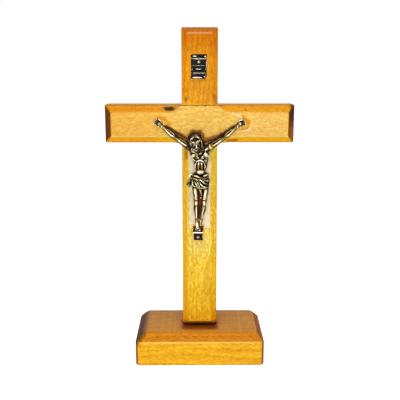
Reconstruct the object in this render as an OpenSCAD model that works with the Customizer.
// Standing crucifix: a bevelled wooden cross on a block base, with a cast figure and a title
// plate pinned to its front. The origin is the middle of the base's underside, the front faces
// -Y and +Z is up. Everything is in millimetres.

/* [Base] */
// Width of the base block, side to side
base_w = 86; // [70:1:110]
// Depth of the base block, front to back
base_d = 49; // [40:1:70]
// Height of the base block
base_h = 22; // [18:1:32]
// Width of the bevel round the top, seen from above
base_bevel = 5; // [2:0.5:7]
// Drop of the same bevel, seen from the side
base_bevel_drop = 5.5; // [2:0.5:8]
// Radius of the base's upright corners
base_corner_r = 3; // [1:0.5:5]

/* [Cross] */
// Height of the whole object, floor to the top of the upright
total_h = 220; // [205:1:250]
// Width of the upright
upright_w = 23; // [20:0.5:28]
// Thickness of the upright and the crossbar, front to back
bar_t = 20; // [16:0.5:26]
// Length of the crossbar
crossbar_l = 122; // [100:1:150]
// Height of the crossbar's section
crossbar_h = 24.4; // [20:0.2:30]
// Height of the crossbar's middle above the floor
crossbar_z = 159.8; // [150:0.2:170]
// Bevel along the front edges of the upright
upright_bevel = 3.6; // [1:0.2:5]
// Bevel along the front edges of the crossbar
crossbar_bevel = 4.4; // [1:0.2:6]
// Radius of the bevel cutter's guide, which shapes the stopped ends of the bevels
cutter_guide_r = 4; // [2:0.5:8]
// Play between the cheeks of the half-lap joint
lap_gap = 0.1; // [0.05:0.05:0.3]

/* [Base screw] */
// Diameter of the screw over its thread
screw_d = 4; // [3:0.5:5]
// Length of the screw, head to tip
screw_l = 40; // [30:1:60]
// Diameter of the screw's flat head
screw_head_d = 8; // [6:0.5:10]
// How far the head is sunk above the base's underside
screw_sink = 3; // [1:0.5:8]
// Pitch of the thread
screw_pitch = 1.8; // [1:0.2:3]

/* [Pins] */
// Diameter of a pin's shank
pin_d = 1; // [0.6:0.1:1.4]
// Length of a pin's shank in the wood
pin_l = 7; // [4:0.5:9]
// Diameter of a pin's domed head
pin_head_d = 2; // [1.6:0.1:2.6]
// Height of a pin's domed head
pin_head_h = 0.7; // [0.4:0.1:1.2]

/* [Figure] */
// Height of the cast figure, crown to toes
figure_h = 65; // [55:1:70]
// Distance between the two pins in the palms
palm_span = 51.6; // [44:0.2:60]
// Height of the palm pins above the crossbar's middle
palm_rise = 0.4; // [-2:0.2:3]
// Thickness of the open hands where the pins pass
palm_t = 1.7; // [1.2:0.1:2.4]
// Height of the head, chin to crown
head_h = 9.2; // [8:0.2:10]
// Tilt of the head towards its right shoulder, in degrees
head_lean = 12; // [0:1:25]
// Bow of the head, in degrees
head_bow = 24; // [0:1:35]
// Lift of the right hand and of the left hand above level, in degrees
hand_lift = [37, 17]; // [0:1:60]
// Width of the foot rest and of the tab below it
rest_w = 6.8; // [5:0.2:9]
// How far the foot rest stands out from the upright
rest_out = 3.6; // [2.5:0.1:5]
// Height of the tab below the foot rest
tab_h = 5.8; // [4:0.2:8]
// Thickness of the tab
tab_t = 1.2; // [0.8:0.1:2]

/* [Title plate] */
// Width of the title plate's rolls
plate_w = 10.8; // [8:0.2:14]
// Height of the title plate, roll to roll
plate_h = 15.8; // [12:0.2:20]
// Thickness of the flat panel
plate_t = 0.9; // [0.6:0.1:1.4]
// Diameter of the upper roll
roll_d = 2.6; // [2:0.1:3.4]
// Distance from the top of the upright to the top of the plate
plate_drop = 16; // [10:1:22]

/* [Hidden] */

// One overrun for every cut, and one play for every hole that a shank passes
over = base_h / 40;
shank_gap = pin_d / 20;
// Facets of true round parts, of the figure's masses, of its limbs and of its fine work
round_fn = 48;
mass_fn = 20;
limb_fn = 12;
fine_fn = 8;

face_y = -bar_t / 2;
crossbar_bottom = crossbar_z - crossbar_h / 2;
crossbar_top = crossbar_z + crossbar_h / 2;
upright_bottom = base_h;
lap_depth = bar_t / 2;

// Screw hole: the head's seat above the underside, and the bore in the upright's foot
screw_head_h = (screw_head_d - screw_d) / 2;
screw_tip_h = screw_d;
screw_bore = screw_sink + screw_l + screw_pitch;
thread_depth = screw_d / 7;
thread_count = floor((screw_l - screw_head_h - screw_tip_h) * 0.6 / screw_pitch);

// The figure's own frame: its origin is on the wood's face, half way between the palms
figure_z = crossbar_z + palm_rise;

// Places on the figure, as shares of its height: across, out from the wood, down from the palms
neck_share = [0, 0.050, 0.240];
head_share = [-0.040, 0.097, 0.166];
shoulder_share = [0.104, 0.046, 0.220];
breast_share = [0.044, 0.060, 0.280];
ribs_share = [0, 0.052, 0.320];
waist_share = [0.008, 0.050, 0.440];
belly_share = [0.006, 0.062, 0.474];
hip_share = [0.038, 0.050, 0.535];
hip_mid_share = [0.008, 0.055, 0.560];
thigh_share = [[-0.044, 0.060, 0.620], [0.060, 0.060, 0.620]];
knee_share = [[-0.035, 0.078, 0.778], [0.044, 0.078, 0.778]];
calf_share = [[-0.040, 0.056, 0.850], [0.036, 0.056, 0.850]];
ankle_share = [[-0.033, 0.052, 0.960], [0.014, 0.042, 0.966]];
toe_share = [[-0.018, 0.046, 1.060], [0.010, 0.036, 1.044]];
rest_mid_share = -0.016;
rest_top_share = 1.028;
rest_edge_share = 1.090;

// Thickness of the limbs there, as radii and shares of the figure's height
neck_r_share = 0.035;
shoulder_r_share = 0.036;
elbow_r_share = 0.026;
wrist_r_share = 0.018;
thigh_r_share = 0.034;
knee_r_share = 0.026;
calf_r_share = 0.026;
ankle_r_share = 0.017;
toe_r_share = 0.015;

// The elbow's place along the arm and its sag below the straight line
elbow_along_share = 0.46;
elbow_sag_share = 0.014;

function fig(s) = [s[0] * figure_h, -s[1] * figure_h, -s[2] * figure_h];
function mirrored(p, side) = [side * p[0], p[1], p[2]];
function between(a, b, share) = a + (b - a) * share;
function shoulder_at(side) = mirrored(fig(shoulder_share), side);
function palm_at(side) = [side * palm_span / 2, -palm_t / 2, 0];
function elbow_at(side) =
    between(shoulder_at(side), palm_at(side), elbow_along_share) - [0, 0, elbow_sag_share * figure_h];
function wrist_at(side) = between(elbow_at(side), palm_at(side), 0.78);

// Where the tab, the foot rest and the four pins lie
rest_x = rest_mid_share * figure_h;
rest_top = -rest_top_share * figure_h;
rest_edge = -rest_edge_share * figure_h;
rest_lip = tab_t / 2;
tab_top = rest_edge - rest_lip;
tab_pin_z = tab_top - tab_h * 0.55;
plate_top = total_h - plate_drop;
plate_x = -plate_w / 20;
lower_roll_d = roll_d * 0.9;
panel_top = plate_top - roll_d;
panel_bottom = plate_top - plate_h + lower_roll_d;
title_pin_z = panel_top - (panel_top - panel_bottom) / 4;

woods = ["#e0a03a", "#dd9428", "#e9b464"];
bronze = "#8d7440";
old_metal = "#4a4640";
steel = "#b9bcc0";

// A wedge that takes off a front edge: it runs along +X from the origin, and its right-angled
// corner lies on the edge that is cut away, with the bar below it and behind it
module bevel_strip(length, size) {
    rotate([90, 0, 90])
        linear_extrude(length)
            polygon([[-over, over], [size + over, over], [-over, -size - over]]);
}

// The cutter's cone at the stopped end of a bevel, with its axis square to the bar's face
module cutter_stop(size) {
    rotate([-90, 0, 0])
        cylinder(h = size + cutter_guide_r, r1 = size + cutter_guide_r, r2 = 0, $fn = round_fn);
}

// One stopped bevel along a front edge: from x = 0 to the cutter's last place, then the cone
module stopped_bevel(length, size) {
    reach = length - size - cutter_guide_r;
    translate([-over, 0, 0]) bevel_strip(reach + over, size);
    translate([reach, 0, cutter_guide_r]) cutter_stop(size);
}

// A bar that stands along Z, with its front face at face_y and stopped bevels on both front edges
module standing_bevels(bottom, top) {
    for (side = [0, 1]) mirror([side, 0, 0]) {
        translate([upright_w / 2, face_y, top])
            rotate([0, 90, 0]) stopped_bevel(top - crossbar_top, upright_bevel);
        translate([upright_w / 2, face_y, bottom])
            rotate([0, 90, 0]) mirror([1, 0, 0])
                stopped_bevel(crossbar_bottom - bottom, upright_bevel);
    }
}

module upright() {
    color(woods[1]) difference() {
        translate([-upright_w / 2, face_y, upright_bottom])
            cube([upright_w, bar_t, total_h - upright_bottom]);
        standing_bevels(upright_bottom, total_h);
        // End bevels on the front edge, at the top and at the foot
        for (low = [0, 1])
            translate([0, 0, low * (total_h + upright_bottom)]) mirror([0, 0, low])
                translate([-upright_w / 2 - over, face_y, total_h])
                    bevel_strip(upright_w + 2 * over, upright_bevel);
        // Housing for the crossbar
        translate([-upright_w / 2 - over, face_y - over, crossbar_bottom - lap_gap])
            cube([upright_w + 2 * over, lap_depth + over, crossbar_h + 2 * lap_gap]);
        // Bore for the base screw
        translate([0, 0, upright_bottom - over])
            cylinder(h = screw_bore - upright_bottom + over, d = screw_d + shank_gap, $fn = round_fn);
        pin_holes();
    }
}

module crossbar() {
    color(woods[2]) difference() {
        translate([-crossbar_l / 2, face_y, crossbar_bottom])
            cube([crossbar_l, bar_t, crossbar_h]);
        for (side = [0, 1]) mirror([side, 0, 0]) {
            // Stopped bevels along the top and the bottom, outwards from the upright
            for (low = [0, 1])
                translate([0, 0, low * 2 * crossbar_z]) mirror([0, 0, low])
                    translate([-crossbar_l / 2, face_y, crossbar_top])
                        stopped_bevel((crossbar_l - upright_w) / 2, crossbar_bevel);
            // End bevel
            translate([crossbar_l / 2, face_y, crossbar_top + over])
                rotate([0, 90, 0]) bevel_strip(crossbar_h + 2 * over, crossbar_bevel);
        }
        // Notch over the upright
        translate([-upright_w / 2 - lap_gap, face_y + lap_depth, crossbar_bottom - over])
            cube([upright_w + 2 * lap_gap, lap_depth + over, crossbar_h + 2 * over]);
        pin_holes();
    }
}

// A block with round upright corners, built from true cylinders
module round_cornered(w, d, h, r) {
    translate([-w / 2 + r, -d / 2, 0]) cube([w - 2 * r, d, h]);
    translate([-w / 2, -d / 2 + r, 0]) cube([w, d - 2 * r, h]);
    for (x = [-1, 1], y = [-1, 1])
        translate([x * (w / 2 - r), y * (d / 2 - r), 0]) cylinder(h = h, r = r, $fn = round_fn);
}

// The sloping cut along one top edge of the base, which runs along X at y = -reach
module base_bevel_cut(length, reach) {
    slope = base_bevel_drop / base_bevel;
    translate([-length / 2, -reach, base_h])
        rotate([90, 0, 90]) linear_extrude(length)
            polygon([[-over, over], [base_bevel + over, over], [base_bevel, 0],
                     [0, -base_bevel_drop], [-over, -base_bevel_drop - over * slope]]);
}

module base_block() {
    color(woods[0]) difference() {
        round_cornered(base_w, base_d, base_h, base_corner_r);
        for (turn = [0, 180]) rotate([0, 0, turn]) {
            base_bevel_cut(base_w + 2 * over, base_d / 2);
            rotate([0, 0, 90]) base_bevel_cut(base_d + 2 * over, base_w / 2);
        }
        // Clearance hole, countersink and counterbore for the screw
        translate([0, 0, -over])
            cylinder(h = base_h + 2 * over, d = screw_d + 2 * shank_gap, $fn = round_fn);
        translate([0, 0, screw_sink])
            cylinder(h = screw_head_h + shank_gap, r1 = screw_head_d / 2 + shank_gap,
                     r2 = screw_d / 2, $fn = round_fn);
        translate([0, 0, -over])
            cylinder(h = screw_sink + over, d = screw_head_d + 2 * shank_gap, $fn = round_fn);
    }
}

// Countersunk wood screw, driven up through the base into the upright's foot
module base_screw() {
    crest = screw_d / 2;
    root = crest - thread_depth;
    thread_top = screw_l - screw_tip_h;
    thread_low = thread_top - thread_count * screw_pitch;
    color(steel) translate([0, 0, screw_sink]) difference() {
        rotate_extrude($fn = round_fn) polygon(concat(
            [[0, 0], [screw_head_d / 2, 0], [crest, screw_head_h], [crest, thread_low]],
            [for (i = [0 : thread_count - 1], part = [0, 1])
                [part == 0 ? root : crest, thread_low + (i + (1 + part) / 2) * screw_pitch]],
            [[root, thread_top + screw_pitch / 2], [0, screw_l]]));
        // Cross recess in the head
        for (turn = [0, 90]) rotate([0, 0, turn])
            translate([-screw_head_d / 4, -screw_head_d / 16, -over])
                cube([screw_head_d / 2, screw_head_d / 8, screw_head_h * 0.6 + over]);
    }
}

// A domed pin whose head's underside is at the origin and whose shank runs along +Y
module pin(through) {
    dome_r = (pow(pin_head_d / 2, 2) + pow(pin_head_h, 2)) / (2 * pin_head_h);
    rotate([-90, 0, 0]) {
        cylinder(h = through + pin_l - pin_d, d = pin_d, $fn = round_fn);
        translate([0, 0, through + pin_l - pin_d])
            cylinder(h = pin_d, r1 = pin_d / 2, r2 = 0, $fn = round_fn);
        intersection() {
            translate([0, 0, dome_r - pin_head_h]) sphere(dome_r, $fn = round_fn);
            translate([0, 0, -pin_head_h]) cylinder(h = pin_head_h, d = pin_head_d, $fn = round_fn);
        }
    }
}

// Where each pin enters the wood's face, and the metal that it holds there
function palm_pin_at(side) = [side * palm_span / 2, face_y, figure_z];
tab_pin_at = [rest_x, face_y, figure_z + tab_pin_z];
title_pin_at = [plate_x, face_y, title_pin_z];

module pin_hole(at, depth) {
    translate(at - [0, over, 0]) rotate([-90, 0, 0])
        cylinder(h = depth + over, d = pin_d + 2 * shank_gap, $fn = round_fn);
}

module pin_holes() {
    for (at = [palm_pin_at(-1), palm_pin_at(1), tab_pin_at, title_pin_at])
        pin_hole(at, pin_l + shank_gap);
}

module placed_pin(at, metal) {
    color(bronze) translate(at - [0, metal, 0]) pin(metal);
}

module hand_pin_right() placed_pin(palm_pin_at(-1), palm_t);
module hand_pin_left() placed_pin(palm_pin_at(1), palm_t);
module tab_pin() placed_pin(tab_pin_at, tab_t);
module title_pin() placed_pin(title_pin_at, plate_t);

// Building blocks of the cast figure: an egg-shaped mass and a tapering limb
module mass(at, radii) {
    translate(at) scale(radii) sphere(1, $fn = mass_fn);
}

module limb(a, b, ra, rb, fn = limb_fn) {
    hull() {
        translate(a) sphere(ra, $fn = fn);
        translate(b) sphere(rb, $fn = fn);
    }
}

// A bent strip of limbs through the given places, each with its own radius
module strand(places, radii, fn = fine_fn) {
    for (i = [0 : len(places) - 2])
        limb(places[i], places[i + 1], radii[i], radii[i + 1], fn);
}

module arm(side) {
    limb(shoulder_at(side), elbow_at(side), shoulder_r_share * figure_h, elbow_r_share * figure_h);
    limb(elbow_at(side), wrist_at(side), elbow_r_share * figure_h, wrist_r_share * figure_h);
    limb(wrist_at(side), palm_at(side), wrist_r_share * figure_h, palm_t / 2);
}

// An open hand: a flat palm on the wood, four fingers and a thumb, as shares of the palm's size
finger_turn_shares = [-0.5, -0.17, 0.17, 0.5];
finger_reach_shares = [0.88, 1, 0.96, 0.8];
finger_fan = 26;
module hand(side, lift) {
    palm_r = palm_t;
    finger_r = palm_t * 0.26;
    finger_l = palm_t * 2.2;
    translate(palm_at(side)) rotate([0, -side * lift, 0]) mirror([side < 0 ? 1 : 0, 0, 0]) {
        scale([1.1, 0.5, 0.95]) sphere(palm_r, $fn = limb_fn);
        for (i = [0 : 3]) {
            turn = finger_turn_shares[i] * finger_fan;
            reach = finger_reach_shares[i] * finger_l;
            root = [palm_r * 0.6, 0, finger_turn_shares[i] * palm_r * 1.5];
            bend = root + [reach * 0.5 * cos(turn), -palm_t * 0.12, reach * 0.5 * sin(turn)];
            tip = root + [reach * cos(turn), -palm_t * 0.42, reach * sin(turn)];
            strand([root, bend, tip], [finger_r, finger_r, finger_r * 0.8]);
        }
        strand([[-palm_r * 0.3, 0, palm_r * 0.5], [palm_r * 0.8, -palm_t * 0.35, palm_r * 1.1]],
               [finger_r * 1.3, finger_r]);
    }
}

// The head in its own frame, in shares of its height: a calm, plain, bearded face
module head() {
    h = head_h;
    mass([0, 0.02, 0.12] * h, [0.35, 0.40, 0.38] * h);
    mass([0, -0.14, -0.18] * h, [0.25, 0.24, 0.30] * h);
    limb([-0.17, -0.31, 0.06] * h, [0.17, -0.31, 0.06] * h, 0.05 * h, 0.05 * h, fine_fn);
    limb([0, -0.36, 0.04] * h, [0, -0.43, -0.13] * h, 0.035 * h, 0.055 * h, fine_fn);
    for (side = [-1, 1]) {
        translate([side * 0.16, -0.27, -0.10] * h) sphere(0.10 * h, $fn = fine_fn);
        // Locks beside the face, down to the shoulder
        strand([[side * 0.28, -0.10, 0.30] * h, [side * 0.40, -0.02, 0.02] * h,
                [side * 0.40, 0.06, -0.32] * h, [side * 0.30, 0.06, -0.60] * h],
               [0.13 * h, 0.14 * h, 0.15 * h, 0.09 * h], limb_fn);
        // Moustache
        limb([0, -0.41, -0.20] * h, [side * 0.12, -0.35, -0.28] * h, 0.04 * h, 0.035 * h, fine_fn);
    }
    // Beard
    hull() {
        translate([0, -0.25, -0.36] * h) sphere(0.17 * h, $fn = limb_fn);
        translate([0, -0.26, -0.56] * h) sphere(0.08 * h, $fn = limb_fn);
    }
    // Plaited crown round the hair
    translate([0, 0.01, 0.20] * h) rotate([14, 0, 0])
        rotate_extrude($fn = mass_fn) translate([0.39 * h, 0]) circle(0.065 * h, $fn = fine_fn);
}

module torso() {
    f = figure_h;
    chest_radii = [0.086, 0.040, 0.062] * f;
    hull() {
        mass(fig(ribs_share), chest_radii);
        for (side = [-1, 1])
            translate(mirrored(fig(breast_share), side))
                sphere(0.036 * f, $fn = limb_fn);
    }
    for (side = [-1, 1]) {
        limb(shoulder_at(side), mirrored(fig(breast_share), side), 0.036 * f, 0.034 * f);
        mass(mirrored(fig(breast_share), side) + [0, -0.012, 0.004] * f, [0.044, 0.024, 0.030] * f);
    }
    hull() {
        mass(fig(ribs_share) - [0, 0, 0.02] * f, [0.078, 0.038, 0.05] * f);
        mass(fig(waist_share), [0.062, 0.034, 0.05] * f);
        mass(fig(belly_share) - [0, 0, 0.02] * f, [0.064, 0.032, 0.05] * f);
    }
    mass(fig(belly_share), [0.046, 0.034, 0.046] * f);
    limb(fig(neck_share), fig(head_share), neck_r_share * f, neck_r_share * f);
    translate(fig(head_share)) rotate([head_bow, -head_lean, 0]) head();
}

// Folds of the loincloth, as places along each: across, out, down, in shares of the figure's height
fold_shares = [
    [[-0.078, 0.058, 0.520], [-0.030, 0.092, 0.545], [0.030, 0.098, 0.545], [0.084, 0.064, 0.512]],
    [[-0.082, 0.056, 0.545], [-0.020, 0.096, 0.580], [0.040, 0.098, 0.575], [0.088, 0.062, 0.540]],
    [[-0.080, 0.056, 0.570], [-0.020, 0.094, 0.615], [0.040, 0.096, 0.605], [0.090, 0.060, 0.570]],
    [[-0.076, 0.060, 0.610], [-0.030, 0.086, 0.630], [0.020, 0.092, 0.655], [0.084, 0.064, 0.610]],
];
fold_r_share = 0.014;
knot_share = [-0.090, 0.070, 0.528];
knot_end_shares = [[-0.088, 0.062, 0.545], [-0.112, 0.054, 0.580], [-0.132, 0.042, 0.612]];
drop_end_shares = [[0.004, 0.076, 0.640], [0.012, 0.070, 0.690], [0.013, 0.062, 0.738]];
module loincloth() {
    f = figure_h;
    hull() {
        for (side = [-1, 1])
            mass(mirrored(fig(hip_share), side) + [0.010, 0, 0] * f, [0.046, 0.036, 0.036] * f);
        mass(fig(hip_mid_share) - [0, 0, 0.04] * f, [0.078, 0.034, 0.05] * f);
    }
    for (fold = fold_shares)
        strand([for (s = fold) fig(s)], [0.7, 1, 1, 0.8] * fold_r_share * f);
    mass(fig(knot_share), [0.020, 0.022, 0.026] * f);
    strand([for (s = knot_end_shares) fig(s)], [0.016, 0.024, 0.020] * f);
    strand([for (s = drop_end_shares) fig(s)], [0.018, 0.013, 0.010] * f);
}

module leg(i) {
    f = figure_h;
    limb(fig(thigh_share[i]), fig(knee_share[i]), thigh_r_share * f, knee_r_share * f);
    limb(fig(knee_share[i]), fig(ankle_share[i]), knee_r_share * f * 0.9, ankle_r_share * f);
    mass(fig(calf_share[i]), [calf_r_share, calf_r_share, calf_r_share * 2.8] * f);
    limb(fig(ankle_share[i]), fig(toe_share[i]), ankle_r_share * f * 1.05, toe_r_share * f);
    // Toes side by side
    for (t = [-2 : 2])
        translate(fig(toe_share[i]) + [t * 0.009, 0, abs(t) * 0.003 - 0.010] * f)
            sphere(0.008 * f, $fn = fine_fn);
}

// Sloping foot rest and the pierced tab below it, in one piece and flat against the wood
module foot_rest() {
    translate([rest_x - rest_w / 2, 0, 0]) rotate([90, 0, 90]) linear_extrude(rest_w)
        polygon([[0, rest_top], [-rest_lip, rest_top], [-rest_out, rest_edge], [-rest_out, tab_top],
                 [-tab_t, tab_top], [-tab_t, tab_top - tab_h], [0, tab_top - tab_h]]);
}

module corpus() {
    color(bronze) translate([0, face_y, figure_z]) difference() {
        union() {
            for (side = [-1, 1]) arm(side);
            hand(-1, hand_lift[0]);
            hand(1, hand_lift[1]);
            torso();
            loincloth();
            for (i = [0, 1]) leg(i);
            foot_rest();
        }
        // Flat back, cast to lie on the wood
        translate([-palm_span, 0, -2 * figure_h]) cube([2 * palm_span, figure_h, 3 * figure_h]);
        // Flats and holes for the pins
        for (side = [-1, 1]) {
            translate([side * palm_span / 2, -palm_t, 0]) rotate([90, 0, 0])
                cylinder(h = palm_t, d = pin_head_d + 2 * shank_gap, $fn = mass_fn);
            translate([side * palm_span / 2, over, 0]) rotate([90, 0, 0])
                cylinder(h = 2 * palm_t, d = pin_d + 2 * shank_gap, $fn = mass_fn);
        }
        translate([rest_x, over, tab_pin_z]) rotate([90, 0, 0])
            cylinder(h = 2 * tab_t, d = pin_d + 2 * shank_gap, $fn = mass_fn);
    }
}

// Scroll-shaped title plate: a flat panel between two rolls, each with a curled right end
module title_plate() {
    panel_w = plate_w * 0.92;
    panel_h = panel_top - panel_bottom;
    color(old_metal) translate([plate_x, face_y, 0]) difference() {
        union() {
            translate([-panel_w / 2, -plate_t, panel_bottom - lower_roll_d / 2])
                cube([panel_w, plate_t, panel_h + (roll_d + lower_roll_d) / 2]);
            // Upper and lower rolls, each cut flat where it lies on the wood
            translate([-plate_w / 2, -roll_d / 3, panel_top + roll_d / 2])
                rotate([0, 90, 0]) cylinder(h = plate_w, d = roll_d, $fn = round_fn);
            translate([-plate_w / 2, -lower_roll_d / 3, panel_bottom - lower_roll_d / 2])
                rotate([0, 90, 0]) cylinder(h = plate_w, d = lower_roll_d, $fn = round_fn);
            // Three raised rules across the panel
            for (i = [1 : 3])
                translate([-panel_w * 0.4, -plate_t * 1.25, panel_bottom + i * panel_h * 0.16])
                    cube([panel_w * 0.8, plate_t * 0.5, panel_h * 0.05]);
        }
        translate([-plate_w, 0, panel_bottom - plate_h]) cube([2 * plate_w, roll_d, 3 * plate_h]);
        translate([0, over, title_pin_z]) rotate([90, 0, 0])
            cylinder(h = 2 * roll_d, d = pin_d + 2 * shank_gap, $fn = round_fn);
    }
}

base_block();
upright();
crossbar();
base_screw();
corpus();
hand_pin_right();
hand_pin_left();
tab_pin();
title_plate();
title_pin();
